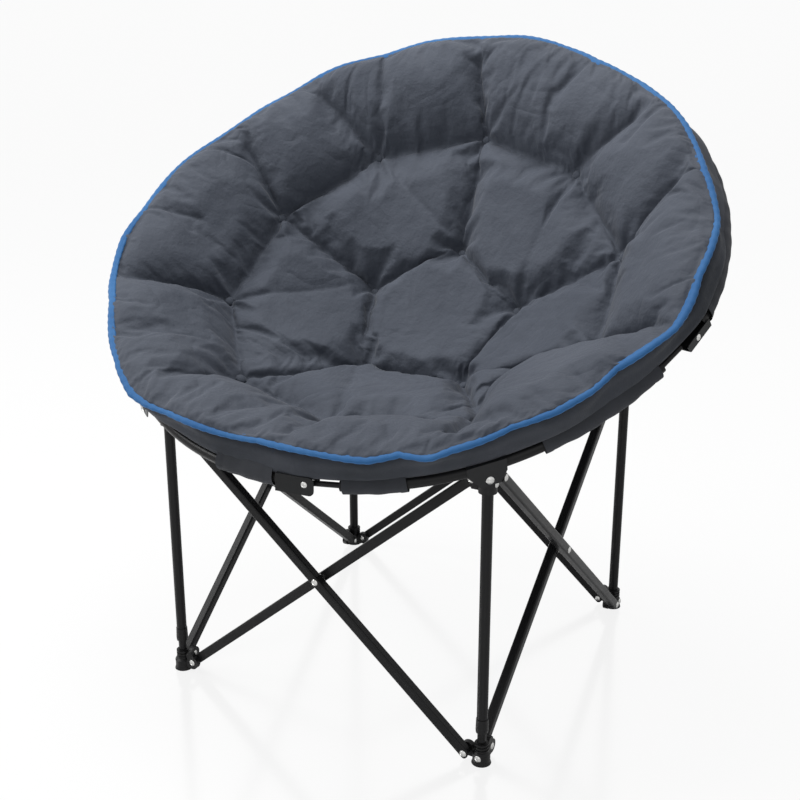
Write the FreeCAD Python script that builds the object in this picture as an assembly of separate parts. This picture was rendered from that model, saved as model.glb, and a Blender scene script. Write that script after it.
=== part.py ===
import FreeCAD, Part
import math
import os

# Folding saucer chair: a round tufted seat in a hinged tubular ring, carried by
# four posts that are joined by four pairs of scissor bars.
# Millimetres. +Z is up, the front of the seat faces -Y, and the ground is z = 0.
# Everything is drawn with the posts centred on the origin and then moved by
# BOX_CENTRE_Y, so that the origin is under the centre of the whole chair.

V = FreeCAD.Vector
UP = V(0, 0, 1)

# Posts and scissor bars
POST_SPACING = 540.0
HALF = POST_SPACING / 2
PIVOT_INSET = 22.0
LOWER_PIVOT_Z = 16.0
UPPER_PIVOT_Z = 440.0
BAR_SIZE = 15.0
BAR_WALL = 1.4
BAR_CORNER = 3.0
BAR_OFFSET = 9.0
POST_RADIUS = 8.0
POST_WALL = 1.2
INNER_RADIUS = 6.5
INNER_WALL = 1.1
INNER_TOP_Z = 360.0
OUTER_BOTTOM_Z = 55.0
UPRIGHT_TOP_Z = 846.0
HUB_RADIUS = 13.0
HUB_BOTTOM_Z = 424.0
HUB_TOP_Z = 452.0
POST_SEAT_Z = 449.0
BOSS_RADIUS = 8.0
BOSS_STOP = 4.0
FOOT_TOP_Z = 16.0
SOCKET_TOP_Z = 34.0
SLIDE_GAP = 0.08
FACE_GAP = 0.2
LUG_DEPTH = 8.0
BORE_BOTTOM_Z = 6.0
POST_RIVET_Z = 12.0
POST_RIVET_RADIUS = 2.5
SPACER_RADIUS = 7.0
SOCKET_RIBS_Z = (21.0, 26.0, 31.0)

# Rivets
PIN_RADIUS = 3.0
PIN_GAP = 0.05
HEAD_RADIUS = 5.2
HEAD_HEIGHT = 2.3

# Seat ring: four arcs of round tube. Points are front middle, front corner,
# side hinge, rear corner and rear middle, on the right-hand side.
RING_RADIUS = 8.0
RING_WALL = 1.2
ROD_RADIUS = 4.0
RING_FRONT = V(0, -388, 436)
RING_FRONT_CORNER = V(290, -296, 477)
RING_SIDE = V(480.5, -63, 636)
RING_REAR_CORNER = V(284, 292, 872)
RING_REAR = V(0, 352, 936)
SLEEVE_INNER = 8.3
SLEEVE_OUTER = 10.6

# Pins that the ring arcs turn on, with azimuth and elevation in degrees
FRONT_PIN = V(276, -290, 461)
FRONT_PIN_AIM = (-47.0, -10.5)
REAR_PIN = RING_REAR_CORNER
REAR_PIN_AIM = (57.0, 39.4)

# Seat: a shallow bowl in a plane that leans back
SEAT_TILT = 34.0
SEAT_CENTRE = V(0, -30, 722)
BOWL_DEPTH = 220.0
SAG_DEPTH = 60.0
SAG_CENTRE = -120.0
SAG_SPREAD = 200.0
PIPING_RADIUS = 5.0
SLING_THICKNESS = 1.6
SECTION_STEP = 12
OUTER_BUTTONS = (0.69, (0, 36, 72, 108, 144, 180, 216, 252, 288, 324))
INNER_BUTTONS = (0.30, (36, 108, 180, 252, 324))
BUTTON_RADIUS = 9.4
BUTTON_HEIGHT = 5.0

# Centre of the whole chair's box along Y, before the final move
BOX_CENTRE_Y = -21.86

CORNERS = {"fr": 0, "rr": 90, "rl": 180, "fl": 270}


def direction(azimuth, elevation):
    """Unit vector from two angles in degrees."""
    a, e = math.radians(azimuth), math.radians(elevation)
    return V(math.cos(a) * math.cos(e), math.sin(a) * math.cos(e), math.sin(e))


def unit(vector):
    """Copy of a vector with length 1."""
    return V(vector).normalize()


def rod(radius, start, end):
    """Round bar from one point to another."""
    axis = end - start
    return Part.makeCylinder(radius, axis.Length, start, axis)


def pipe(outer, inner, start, end):
    """Straight round tube."""
    return rod(outer, start, end).cut(rod(inner, start, end))


def placed(shape, origin, x_axis, y_axis, z_axis):
    """Copy of a shape drawn in local axes, set at an origin with those axes."""
    matrix = FreeCAD.Matrix(x_axis.x, y_axis.x, z_axis.x, origin.x,
                            x_axis.y, y_axis.y, z_axis.y, origin.y,
                            x_axis.z, y_axis.z, z_axis.z, origin.z,
                            0, 0, 0, 1)
    copy = shape.copy()
    copy.Placement = FreeCAD.Placement(matrix).multiply(copy.Placement)
    return copy


def turned(shape, angle):
    """Copy turned about the chair's upright axis."""
    copy = shape.copy()
    copy.rotate(V(0, 0, 0), UP, angle)
    return copy


def mirrored(shape):
    """Copy for the left-hand side of the chair."""
    return shape.mirror(V(0, 0, 0), V(1, 0, 0))


def block(x, y, z):
    """Box given by three (low, high) pairs."""
    return Part.makeBox(x[1] - x[0], y[1] - y[0], z[1] - z[0], V(x[0], y[0], z[0]))


def dome(centre, axis, radius=HEAD_RADIUS, height=HEAD_HEIGHT):
    """Rivet head: a low spherical cap that stands on centre."""
    ball = (radius * radius + height * height) / (2 * height)
    sphere = Part.makeSphere(ball, centre + axis * (height - ball))
    return sphere.common(rod(radius * 1.5, centre, centre + axis * (height * 2)))


def rivet(start, end, radius=PIN_RADIUS, head=HEAD_RADIUS):
    """Pin with a domed head on its end and a flatter one on its start."""
    axis = unit(end - start)
    solid = rod(radius, start, end)
    solid = solid.fuse(dome(end, axis, head))
    return solid.fuse(dome(start, axis * -1, head * 0.85, HEAD_HEIGHT * 0.6)).removeSplitter()


def screw(start, end, radius):
    """Pin with a domed head on its end only."""
    return rod(radius, start, end).fuse(dome(end, unit(end - start)))


def scissor_bar(start, end, normal):
    """Square tube with round ends, drilled for its two end rivets and the crossing rivet."""
    length = (end - start).Length
    r = BAR_SIZE / 2
    outer = block((-r, length + r), (-r, r), (-r, r))
    outer = outer.makeFillet(BAR_CORNER, [e for e in outer.Edges if e.Length > length])
    inner_half = r - BAR_WALL
    inner = block((-2 * r, length + 2 * r), (-inner_half, inner_half), (-inner_half, inner_half))
    inner = inner.makeFillet(BAR_CORNER - BAR_WALL, [e for e in inner.Edges if e.Length > length])
    profile = block((0, length), (-r, r), (-r, r))
    for x in (0, length):
        profile = profile.fuse(rod(r, V(x, -r, 0), V(x, r, 0)))
    solid = outer.common(profile).cut(inner)
    for x in (0, length / 2, length):
        solid = solid.cut(rod(PIN_RADIUS + PIN_GAP, V(x, -BAR_SIZE, 0), V(x, BAR_SIZE, 0)))
    along = unit(end - start)
    return placed(solid, start, along, normal, along.cross(normal))


def front_bars():
    """The front frame's outer bar, from the right foot, and inner bar, from the left foot."""
    x = HALF - PIVOT_INSET
    outer_y, inner_y = -HALF - BAR_OFFSET, -HALF + BAR_OFFSET
    normal = V(0, 1, 0)
    outer = scissor_bar(V(x, outer_y, LOWER_PIVOT_Z), V(-x, outer_y, UPPER_PIVOT_Z), normal)
    inner = scissor_bar(V(-x, inner_y, LOWER_PIVOT_Z), V(x, inner_y, UPPER_PIVOT_Z), normal)
    return outer, inner


def crossing_rivet():
    """Rivet through both front bars, with the spacer washer that keeps them apart."""
    z = (LOWER_PIVOT_Z + UPPER_PIVOT_Z) / 2
    reach = BAR_OFFSET + BAR_SIZE / 2 + FACE_GAP
    solid = rivet(V(0, -HALF + reach, z), V(0, -HALF - reach, z))
    half = BAR_OFFSET - BAR_SIZE / 2 - FACE_GAP
    return solid.fuse(rod(SPACER_RADIUS, V(0, -HALF - half, z), V(0, -HALF + half, z)))


def lug(x, z, low_y, high_y, web_x, web_z):
    """Plate on a hub that a bar is riveted to, with a round end and a web back to the hub."""
    plate = rod(11, V(x, low_y, z), V(x, high_y, z))
    web = block((x, web_x), (low_y, high_y), web_z)
    return plate.fuse(web)


def foot_hub(bore):
    """Moulded foot at the front right corner, with two ears and a ribbed socket."""
    centre = V(HALF, -HALF, 0)
    base = Part.makeCone(HUB_RADIUS + 1.5, HUB_RADIUS, 5, centre)
    body = base.fuse(rod(HUB_RADIUS, centre + UP * 5, centre + UP * FOOT_TOP_Z))
    body = body.fuse(Part.makeCone(HUB_RADIUS, bore + 3, 3, centre + UP * FOOT_TOP_Z))
    body = body.fuse(rod(bore + 2.8, centre + UP * FOOT_TOP_Z, centre + UP * SOCKET_TOP_Z))
    for z in SOCKET_RIBS_Z:
        body = body.fuse(rod(bore + 4.0, centre + UP * z, centre + UP * (z + 2)))
    inset = HALF - PIVOT_INSET
    outer_face = -HALF - BAR_OFFSET + BAR_SIZE / 2 + FACE_GAP
    inner_face = HALF - BAR_OFFSET + BAR_SIZE / 2 + FACE_GAP
    ear = lug(inset, LOWER_PIVOT_Z, outer_face, outer_face + LUG_DEPTH, HALF, (5, FOOT_TOP_Z + 2))
    body = body.fuse(ear)
    side_back = -inner_face - LUG_DEPTH
    side = lug(inset, LOWER_PIVOT_Z, side_back, -inner_face, HALF, (5, FOOT_TOP_Z + 2))
    ear_tip = rod(7, V(inset + 4, side_back, 27), V(inset + 4, -inner_face, 27))
    side = side.fuse(ear_tip)
    side.rotate(V(0, 0, 0), UP, 90)
    side = side.mirror(V(0, 0, 0), V(0, 1, 0))
    body = body.fuse(side)
    body = body.cut(rod(bore, centre + UP * BORE_BOTTOM_Z, centre + UP * (SOCKET_TOP_Z + 1)))
    for pin in foot_pin_lines():
        body = body.cut(rod(pin[2], pin[0], pin[1]))
    return body.removeSplitter()


def foot_pin_lines():
    """Start, end and radius of the two bar pins and the post screw in the front right foot."""
    inset = HALF - PIVOT_INSET
    outer_bar = -HALF - BAR_OFFSET - BAR_SIZE / 2 - FACE_GAP
    lug_back = -HALF - BAR_OFFSET + BAR_SIZE / 2 + FACE_GAP + LUG_DEPTH + 0.1
    inner_bar = HALF - BAR_OFFSET - BAR_SIZE / 2 - FACE_GAP
    ear_front = HALF - BAR_OFFSET + BAR_SIZE / 2 + FACE_GAP + LUG_DEPTH + 0.1
    hub_face = -HALF - HUB_RADIUS - 0.1
    return (
        (V(inset, lug_back, LOWER_PIVOT_Z), V(inset, outer_bar, LOWER_PIVOT_Z), PIN_RADIUS),
        (V(inner_bar, -inset, LOWER_PIVOT_Z), V(ear_front, -inset, LOWER_PIVOT_Z), PIN_RADIUS),
        (V(HALF, -HALF + HUB_RADIUS - 2, POST_RIVET_Z), V(HALF, hub_face, POST_RIVET_Z),
         POST_RIVET_RADIUS),
    )


def foot_rivets():
    """The pins that hold two bars and the post in the front right foot."""
    lines = foot_pin_lines()
    return [rivet(*line) for line in lines[:2]] + [screw(*line) for line in lines[2:]]


def top_pin_lines(fixed_post):
    """Start, end and radius of the pins in the front right top hub."""
    inset = HALF - PIVOT_INSET
    inner_bar = -HALF + BAR_OFFSET + BAR_SIZE / 2 + FACE_GAP
    ear_front = -HALF + BAR_OFFSET - BAR_SIZE / 2 - FACE_GAP - LUG_DEPTH - 0.1
    outer_bar = HALF + BAR_OFFSET + BAR_SIZE / 2 + FACE_GAP
    lug_back = HALF + BAR_OFFSET - BAR_SIZE / 2 - FACE_GAP - LUG_DEPTH - 0.1
    lines = [
        (V(inset, inner_bar, UPPER_PIVOT_Z), V(inset, ear_front, UPPER_PIVOT_Z), PIN_RADIUS),
        (V(lug_back, -inset, UPPER_PIVOT_Z), V(outer_bar, -inset, UPPER_PIVOT_Z), PIN_RADIUS),
    ]
    if fixed_post:
        z = HUB_BOTTOM_Z + 14
        start = V(HALF - HUB_RADIUS + 2, -HALF, z)
        lines.append((start, V(HALF + HUB_RADIUS + 0.1, -HALF, z), PIN_RADIUS))
    return lines


def top_rivets(fixed_post):
    """The pins of the front right top hub."""
    lines = top_pin_lines(fixed_post)
    return [rivet(*line) for line in lines[:2]] + [screw(*line) for line in lines[2:]]


def pin_boss():
    """Neck and boss on the front right hub that carry the ring's corner pin."""
    aim = direction(*FRONT_PIN_AIM)
    centre = V(HALF, -HALF, 0)
    neck = rod(BOSS_RADIUS + 1, centre + UP * (HUB_TOP_Z - 2), centre + UP * (HUB_TOP_Z + 14))
    return neck.fuse(rod(BOSS_RADIUS, FRONT_PIN - aim * 17, FRONT_PIN - aim * BOSS_STOP))


def pin_hole():
    """Clearance hole for the front right corner pin."""
    aim = direction(*FRONT_PIN_AIM)
    return rod(PIN_RADIUS + PIN_GAP, FRONT_PIN - aim * 40, FRONT_PIN + aim * 10)


def top_hub(fixed_post):
    """Moulded hub at the top of the front right scissor joint."""
    centre = V(HALF, -HALF, 0)
    body = rod(HUB_RADIUS, centre + UP * HUB_BOTTOM_Z, centre + UP * HUB_TOP_Z)
    inset = HALF - PIVOT_INSET
    web_z = (HUB_BOTTOM_Z + 3, HUB_TOP_Z)
    ear_back = -HALF + BAR_OFFSET - BAR_SIZE / 2 - FACE_GAP
    body = body.fuse(lug(inset, UPPER_PIVOT_Z, ear_back - LUG_DEPTH, ear_back, HALF, web_z))
    lug_front = HALF + BAR_OFFSET - BAR_SIZE / 2 - FACE_GAP
    side = lug(inset, UPPER_PIVOT_Z, -lug_front, -lug_front + LUG_DEPTH, HALF, web_z)
    side.rotate(V(0, 0, 0), UP, 90)
    body = body.fuse(side.mirror(V(0, 0, 0), V(0, 1, 0)))
    bore = POST_RADIUS if fixed_post else POST_RADIUS + SLIDE_GAP
    if fixed_post:
        body = body.fuse(pin_boss())
        body = body.cut(pin_hole())
        body = body.cut(rod(bore, centre + UP * (HUB_BOTTOM_Z - 1), centre + UP * POST_SEAT_Z))
    else:
        through = rod(bore, centre + UP * (HUB_BOTTOM_Z - 1), centre + UP * (HUB_TOP_Z + 1))
        body = body.cut(through)
    for start, end, radius in top_pin_lines(fixed_post):
        body = body.cut(rod(radius, start, end))
    return body.removeSplitter()


def inner_tube():
    """Thin lower tube of the front right telescopic post."""
    centre = V(HALF, -HALF, 0)
    low, high = centre + UP * BORE_BOTTOM_Z, centre + UP * INNER_TOP_Z
    solid = pipe(INNER_RADIUS, INNER_RADIUS - INNER_WALL, low, high)
    start, end, radius = foot_pin_lines()[2]
    return solid.cut(rod(radius, start, end))


def outer_tube():
    """Upper tube of the front right telescopic post."""
    centre = V(HALF, -HALF, 0)
    bore = INNER_RADIUS + SLIDE_GAP
    solid = pipe(POST_RADIUS, bore, centre + UP * OUTER_BOTTOM_Z, centre + UP * POST_SEAT_Z)
    start, end, radius = top_pin_lines(True)[2]
    return solid.cut(rod(radius, start, end))


def tube_collar():
    """Plastic collar at the lower end of the upper tube."""
    centre = V(HALF, -HALF, 0)
    low, high = OUTER_BOTTOM_Z - 4, OUTER_BOTTOM_Z + 18
    body = Part.makeCone(POST_RADIUS + 0.9, POST_RADIUS + 1.4, 4, centre + UP * low)
    body = body.fuse(Part.makeCone(POST_RADIUS + 1.4, POST_RADIUS + 0.8, high - low - 4,
                                   centre + UP * (low + 4)))
    body = body.cut(rod(INNER_RADIUS + SLIDE_GAP, centre + UP * (low - 1), centre + UP * high))
    return body.cut(rod(POST_RADIUS, centre + UP * OUTER_BOTTOM_Z, centre + UP * (high + 1)))


def rear_upright():
    """Long rear post, drawn at the front right corner like the other corner pieces."""
    centre = V(HALF, -HALF, 0)
    bore = POST_RADIUS - POST_WALL
    solid = pipe(POST_RADIUS, bore, centre + UP * BORE_BOTTOM_Z, centre + UP * UPRIGHT_TOP_Z)
    start, end, radius = foot_pin_lines()[2]
    return solid.cut(rod(radius, start, end))


class Arc:
    """Circle arc through three points, with distances measured along it from its start."""

    def __init__(self, start, middle, end):
        circle = Part.Arc(start, middle, end).toShape().Curve
        self.centre = circle.Center
        self.radius = circle.Radius
        self.first = unit(start - self.centre)
        self.normal = unit(self.first.cross(end - self.centre))
        self.second = self.normal.cross(self.first)
        self.length = self.distance(end)

    def distance(self, point):
        """How far along the arc a point on it lies."""
        across = point - self.centre
        return self.radius * math.atan2(across.dot(self.second), across.dot(self.first))

    def point(self, distance):
        """Point at a distance along the arc."""
        a = distance / self.radius
        out = self.first * math.cos(a) + self.second * math.sin(a)
        return self.centre + out * self.radius

    def tangent(self, distance):
        """Unit direction of travel at a distance along the arc."""
        a = distance / self.radius
        return self.second * math.cos(a) - self.first * math.sin(a)

    def tube(self, low, high, outer, inner):
        """Bent round tube between two distances."""
        start, heading = self.point(low), self.tangent(low)
        turn = math.degrees((high - low) / self.radius)
        solids = []
        for r in (outer, inner):
            face = Part.Face(Part.Wire(Part.makeCircle(r, start, heading)))
            solids.append(face.revolve(self.centre, self.normal, turn))
        return solids[0].cut(solids[1])


FRONT_ARC = Arc(RING_FRONT, RING_FRONT_CORNER, RING_SIDE)
REAR_ARC = Arc(RING_REAR, RING_REAR_CORNER, RING_SIDE)
# Distances from each hinge point: where a rod-ended arc stops, how far its rod reaches,
# and how far a housing-carrying arc runs past the middle of the chair
MIDDLE_TUBE_STOP = 104.0
MIDDLE_ROD_STOP = 61.0
MIDDLE_OVERRUN = 24.0
SIDE_TUBE_STOP = 86.0
SIDE_ROD_STOP = 46.0
HOUSING_LENGTH = 54.0
HOUSING_WALL = 1.8
MIDDLE_HALF_WIDTH = 9.5
SIDE_HALF_WIDTH = 9.6
REAR_WALL_BOTTOM = 0.0
HINGE_HEAD_RADIUS = 4.5
HINGE_HEAD_HEIGHT = 2.0


def end_rod(arc, tube_stop, rod_stop, inward):
    """Solid rod in the end of an arc's tube; inward is +1 where the tube lies beyond the stop."""
    tube_end, rod_end = arc.point(tube_stop), arc.point(rod_stop)
    heading = arc.tangent(tube_stop) * inward
    plug = rod(RING_RADIUS - RING_WALL / 2, tube_end + heading * 0.5, tube_end + heading * 12)
    return rod(ROD_RADIUS, rod_end, tube_end + heading * 6).fuse(plug)


def front_arc(rod_end):
    """Front ring arc on the right-hand side, with a rod or a plain end at the middle."""
    side_stop = FRONT_ARC.length - SIDE_TUBE_STOP
    start = MIDDLE_TUBE_STOP if rod_end else -MIDDLE_OVERRUN
    solid = FRONT_ARC.tube(start, side_stop, RING_RADIUS, RING_RADIUS - RING_WALL)
    solid = solid.fuse(end_rod(FRONT_ARC, side_stop, FRONT_ARC.length - SIDE_ROD_STOP, -1))
    if rod_end:
        solid = solid.fuse(end_rod(FRONT_ARC, MIDDLE_TUBE_STOP, MIDDLE_ROD_STOP, 1))
    return solid.removeSplitter()


def rear_arc(rod_end):
    """Rear ring arc on the right-hand side, drilled for the pin of its clamp."""
    start = MIDDLE_TUBE_STOP if rod_end else -MIDDLE_OVERRUN
    solid = REAR_ARC.tube(start, REAR_ARC.length, RING_RADIUS, RING_RADIUS - RING_WALL)
    if rod_end:
        solid = solid.fuse(end_rod(REAR_ARC, MIDDLE_TUBE_STOP, MIDDLE_ROD_STOP, 1))
    aim = direction(*REAR_PIN_AIM)
    solid = solid.cut(rod(PIN_RADIUS, REAR_PIN - aim * 20, REAR_PIN + aim * 20))
    return solid.removeSplitter()


def housing(length, low_z, high_z, half_width, closed_top):
    """Folded sheet channel around a ring hinge, along local X, with a roof or a floor."""
    w, t = half_width, HOUSING_WALL
    outer = block((0, length), (-w - t, w + t), (low_z, high_z))
    corners = [e for e in outer.Edges if abs(e.Vertexes[0].Y - e.Vertexes[-1].Y) > w]
    far_low = [e for e in corners if e.CenterOfMass.x > length / 2]
    outer = outer.makeFillet(min(7.0, (high_z - low_z) / 3), far_low)
    if closed_top:
        inner = block((-1, length + 1), (-w, w), (low_z - 1, high_z - t))
    else:
        inner = block((-1, length + 1), (-w, w), (low_z + t, high_z + 1))
    return outer.cut(inner)


def framed(shape, origin, along):
    """Shape drawn along local X, placed with its local Z as near to upright as along allows."""
    x = unit(along)
    z = unit(UP - x * UP.dot(x))
    return placed(shape, origin, x, z.cross(x), z)


def middle_line(arc):
    """Start and direction of a middle housing, from the left-hand arc's end to the right."""
    left = arc.point(-14)
    start = V(-left.x, left.y, left.z)
    return start, unit(arc.point(70) - start)


def middle_housing(arc):
    """Housing on the left-hand arc's end, reaching over the rod of the right-hand arc."""
    start, along = middle_line(arc)
    roof = RING_RADIUS + 1.0 + HOUSING_WALL
    shape = housing(HOUSING_LENGTH + 2, -15, roof, MIDDLE_HALF_WIDTH, True)
    rod_gap = block((-1, HOUSING_LENGTH + 3), (0, 20), (-16, REAR_WALL_BOTTOM))
    return framed(shape.cut(rod_gap), start, along)


def head_pair(centre, across, face, raised=V(0, 0, 0)):
    """Two rivet heads on the outer walls of a housing; the first can be set higher."""
    reach = across * (face + 0.05)
    first = dome(centre + raised + reach, across, HINGE_HEAD_RADIUS, HINGE_HEAD_HEIGHT)
    second = dome(centre - reach, across * -1, HINGE_HEAD_RADIUS, HINGE_HEAD_HEIGHT)
    return [first, second]


def middle_housing_rivets(arc):
    """Rivet heads on the two walls of a middle housing, with no pin between them."""
    start, along = middle_line(arc)
    across = unit(UP.cross(along))
    raised = along.cross(across) * (HINGE_HEAD_RADIUS + 1)
    return head_pair(start + along * 42, across, MIDDLE_HALF_WIDTH + HOUSING_WALL, raised)


def side_line():
    """Start and direction of a side housing, from the rear arc's end to the front arc's rod."""
    start = REAR_ARC.point(REAR_ARC.length - 10)
    end = FRONT_ARC.point(FRONT_ARC.length - 44) - UP * 0.5
    return start, unit(end - start)


def side_housing():
    """Housing on the rear arc's lower end, open at its top."""
    start, along = side_line()
    floor = -RING_RADIUS - 0.5 - HOUSING_WALL
    shape = housing(HOUSING_LENGTH, floor, 2.5, SIDE_HALF_WIDTH, False)
    return framed(shape, start, along)


def side_housing_rivets():
    """Rivet heads on the outer and inner wall of a side housing."""
    start, along = side_line()
    across = unit(UP.cross(along))
    upward = along.cross(across)
    centre = start + along * 30 - upward * 3.5
    return head_pair(centre, across, SIDE_HALF_WIDTH + HOUSING_WALL)


def saddle_axes():
    """Origin and axes of the front right saddle, on the ring above its pin."""
    aim = direction(*FRONT_PIN_AIM)
    steps = [250 + 0.5 * i for i in range(200)]
    near = min(steps, key=lambda d: FRONT_ARC.point(d).distanceToLine(FRONT_PIN, aim))
    origin, along = FRONT_ARC.point(near), FRONT_ARC.tangent(near) * -1
    outward = unit(aim - along * aim.dot(along))
    return origin, along, outward, along.cross(outward)


def saddle():
    """Bracket that hugs the ring tube and hangs on the corner pin, at the front right."""
    origin, x, y, z = saddle_axes()
    width = RING_RADIUS + 1.0
    outline = [V(-30, 0, 11.5), V(24, 0, 11.5), V(26, 0, -2), V(13, 0, -23), V(-14, 0, -23),
               V(-27, 0, -6)]
    wire = Part.makePolygon(outline + [outline[0]])
    outer = Part.Face(wire).extrude(V(0, 2 * (width + HOUSING_WALL), 0))
    outer.translate(V(0, -width - HOUSING_WALL, 0))
    inner = block((-40, 40), (-width, width), (-40, 9.6))
    shape = placed(outer.cut(inner), origin, x, y, z)
    aim = direction(*FRONT_PIN_AIM)
    return shape.cut(rod(PIN_RADIUS, FRONT_PIN - aim * 40, FRONT_PIN + aim * 60))


def saddle_pin():
    """Pin from the hub's boss out through the saddle, with its head trimmed to the saddle."""
    aim = direction(*FRONT_PIN_AIM)
    origin, x, y, z = saddle_axes()
    outer_face = RING_RADIUS + 1.0 + HOUSING_WALL
    reach = (origin - FRONT_PIN).dot(y) + outer_face
    distance = reach / aim.dot(y)
    solid = rod(PIN_RADIUS, FRONT_PIN - aim * 16.5, FRONT_PIN + aim * (distance + 1))
    solid = solid.fuse(dome(FRONT_PIN + aim * (distance + 0.2), aim, 6.0, 3.0))
    bracket = saddle()
    return solid.cut(bracket)


def ring_clamp():
    """Cap on the rear right upright, with a boss that the ring arc is pinned to."""
    centre = V(HALF, HALF, 0)
    aim = direction(*REAR_PIN_AIM)
    body = rod(11, centre + UP * (UPRIGHT_TOP_Z - 22), centre + UP * (UPRIGHT_TOP_Z + 5))
    body = body.fuse(rod(8.5, REAR_PIN - aim * 36, REAR_PIN - aim * 12))
    below = centre + UP * (UPRIGHT_TOP_Z - 23)
    body = body.cut(rod(POST_RADIUS, below, centre + UP * UPRIGHT_TOP_Z))
    return body.cut(rod(PIN_RADIUS + PIN_GAP, REAR_PIN - aim * 26, REAR_PIN)).removeSplitter()


def clamp_pin():
    """Pin from the rear clamp's boss through the ring tube."""
    aim = direction(*REAR_PIN_AIM)
    start, end = REAR_PIN - aim * 25, REAR_PIN + aim * (RING_RADIUS + 0.2)
    solid = rod(PIN_RADIUS, start, end + aim * 0.5).fuse(dome(end, aim))
    return solid.cut(rear_arc(False))


def sleeves(arc, spans):
    """Fabric sleeves around a ring arc, between pairs of distances along it."""
    return [arc.tube(low, high, SLEEVE_OUTER, SLEEVE_INNER) for low, high in spans]


# The seat is drawn in polar form on its rim: t is the angle from the front,
# and rho goes from 0 at the centre to 1 at the rim.
TILT = math.radians(SEAT_TILT)
SEAT_NORMAL = V(0, -math.sin(TILT), math.cos(TILT))


def rim(t):
    """Point of the rim's centre line at an angle in degrees from the front."""
    a = math.radians(t)
    return V(481.5 * math.sin(a) + 19.0 * math.sin(2 * a),
             -34.7 - 363.3 * math.cos(a) - 5.7 * math.cos(2 * a),
             718.0 - 246.7 * math.cos(a) + 3.8 * math.cos(2 * a) - 3.2 * math.cos(3 * a))


def bowl(t, rho):
    """Depth of the seat's middle surface along the seat normal."""
    back = -rho * 438.0 * math.cos(math.radians(t))
    sag = SAG_DEPTH * math.exp(-((back - SAG_CENTRE) / SAG_SPREAD) ** 2)
    return -(BOWL_DEPTH + sag) * (1 - rho * rho)


def seat_point(t, rho, height):
    """Point over the seat's middle surface by a height along the seat normal."""
    spoke = rim(t) - SEAT_CENTRE
    return SEAT_CENTRE + spoke * rho + SEAT_NORMAL * (bowl(t, rho) + height)


def arc_edge(a, b, c):
    """Edge through three points: an arc, or a line where they are nearly in line."""
    if (b - a).cross(c - b).Length < 1e-3 * (c - a).Length:
        return Part.makeLine(a, c)
    return Part.Arc(a, b, c).toShape()


def seat_section(t, tops, bottoms):
    """Radial section of a seat layer: edges through (rho, height) knots, out and back."""
    out = [seat_point(t, rho, h) for rho, h in tops]
    back = [seat_point(t, rho, h) for rho, h in bottoms]
    edges = [arc_edge(*out[i:i + 3]) for i in range(0, len(out) - 2, 2)]
    edges.append(Part.makeLine(out[-1], back[0]))
    edges += [arc_edge(*back[i:i + 3]) for i in range(0, len(back) - 2, 2)]
    return edges


def seat_layer(profile):
    """Closed solid skinned over radial sections all round, with fans over its middle."""
    angles = list(range(0, 360, SECTION_STEP))
    sections = [seat_section(t, *profile(t)) for t in angles]
    faces = []
    for i, section in enumerate(sections):
        following = sections[(i + 1) % len(sections)]
        faces += [Part.makeRuledSurface(a, b) for a, b in zip(section, following)]
    for level in (0, -1):
        ends = [s[level].Vertexes[level].Point for s in sections]
        middle = V(0, 0, 0)
        for point in ends:
            middle = middle + point * (1.0 / len(ends))
        for a, b in zip(ends, ends[1:] + ends[:1]):
            faces.append(Part.Face(Part.makePolygon([middle, a, b, middle])))
    shell = Part.Shell(faces)
    shell.sewShape()
    solid = Part.Solid(Part.Shell(shell.Faces))
    if solid.Volume < 0:
        solid.reverse()
    return solid


def cushion_profile(t):
    """Knots of the pad's top and underside: creases run through the buttons."""
    crease = t % 36 == 0
    has_inner = t in INNER_BUTTONS[1]
    inner = 6 if has_inner else (24 if crease else 27)
    outer = 7 if crease else 34
    between = (24, 26, 13) if crease else (31, 38, 31)
    tops = [(0.10, 26), (0.19, between[0]), (INNER_BUTTONS[0], inner),
            (0.5, between[1]), (OUTER_BUTTONS[0], outer),
            (0.84, between[2]), (0.984, 1.5)]
    bottoms = [(0.984, -6.5), (0.88, -6), (0.79, -9), (0.62, -11), (0.45, -12), (0.27, -12),
               (0.10, -12)]
    return tops, bottoms


def sling_profile(t):
    """Knots of the cloth shell that the pad lies in, just under the pad."""
    rhos = (0.10, 0.27, 0.45, 0.62, 0.79, 0.88, 0.955)
    drops = (-13.5, -13.5, -13.5, -12.5, -10.5, -7.6, -8.8)
    tops = list(zip(rhos, drops))
    bottoms = [(rho, drop - SLING_THICKNESS) for rho, drop in reversed(tops)]
    return tops, bottoms


def button_frames():
    """Centre and outward direction of every button on the pad."""
    frames = []
    for (rho, angles), height in ((OUTER_BUTTONS, 7), (INNER_BUTTONS, 6)):
        for t in angles:
            centre = seat_point(t, rho, height)
            radial = seat_point(t, rho + 0.03, height) - seat_point(t, rho - 0.03, height)
            around = seat_point(t + 3, rho, height) - seat_point(t - 3, rho, height)
            normal = unit(around.cross(radial))
            frames.append((centre, normal if normal.dot(SEAT_NORMAL) > 0 else normal * -1))
    return frames


def cushion():
    """Tufted pad, with a pocket for each button."""
    solid = seat_layer(cushion_profile)
    for centre, normal in button_frames():
        solid = solid.cut(rod(BUTTON_RADIUS + 0.6, centre, centre + normal * 45))
    return solid


def buttons():
    """Covered buttons that hold the tufts down."""
    solids = []
    for centre, normal in button_frames():
        base = centre + normal * 0.3
        body = rod(BUTTON_RADIUS, base, base + normal * (BUTTON_HEIGHT / 2))
        body = body.fuse(dome(base + normal * (BUTTON_HEIGHT / 2), normal, BUTTON_RADIUS,
                              BUTTON_HEIGHT / 2))
        solids.append(body)
    return solids


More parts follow.
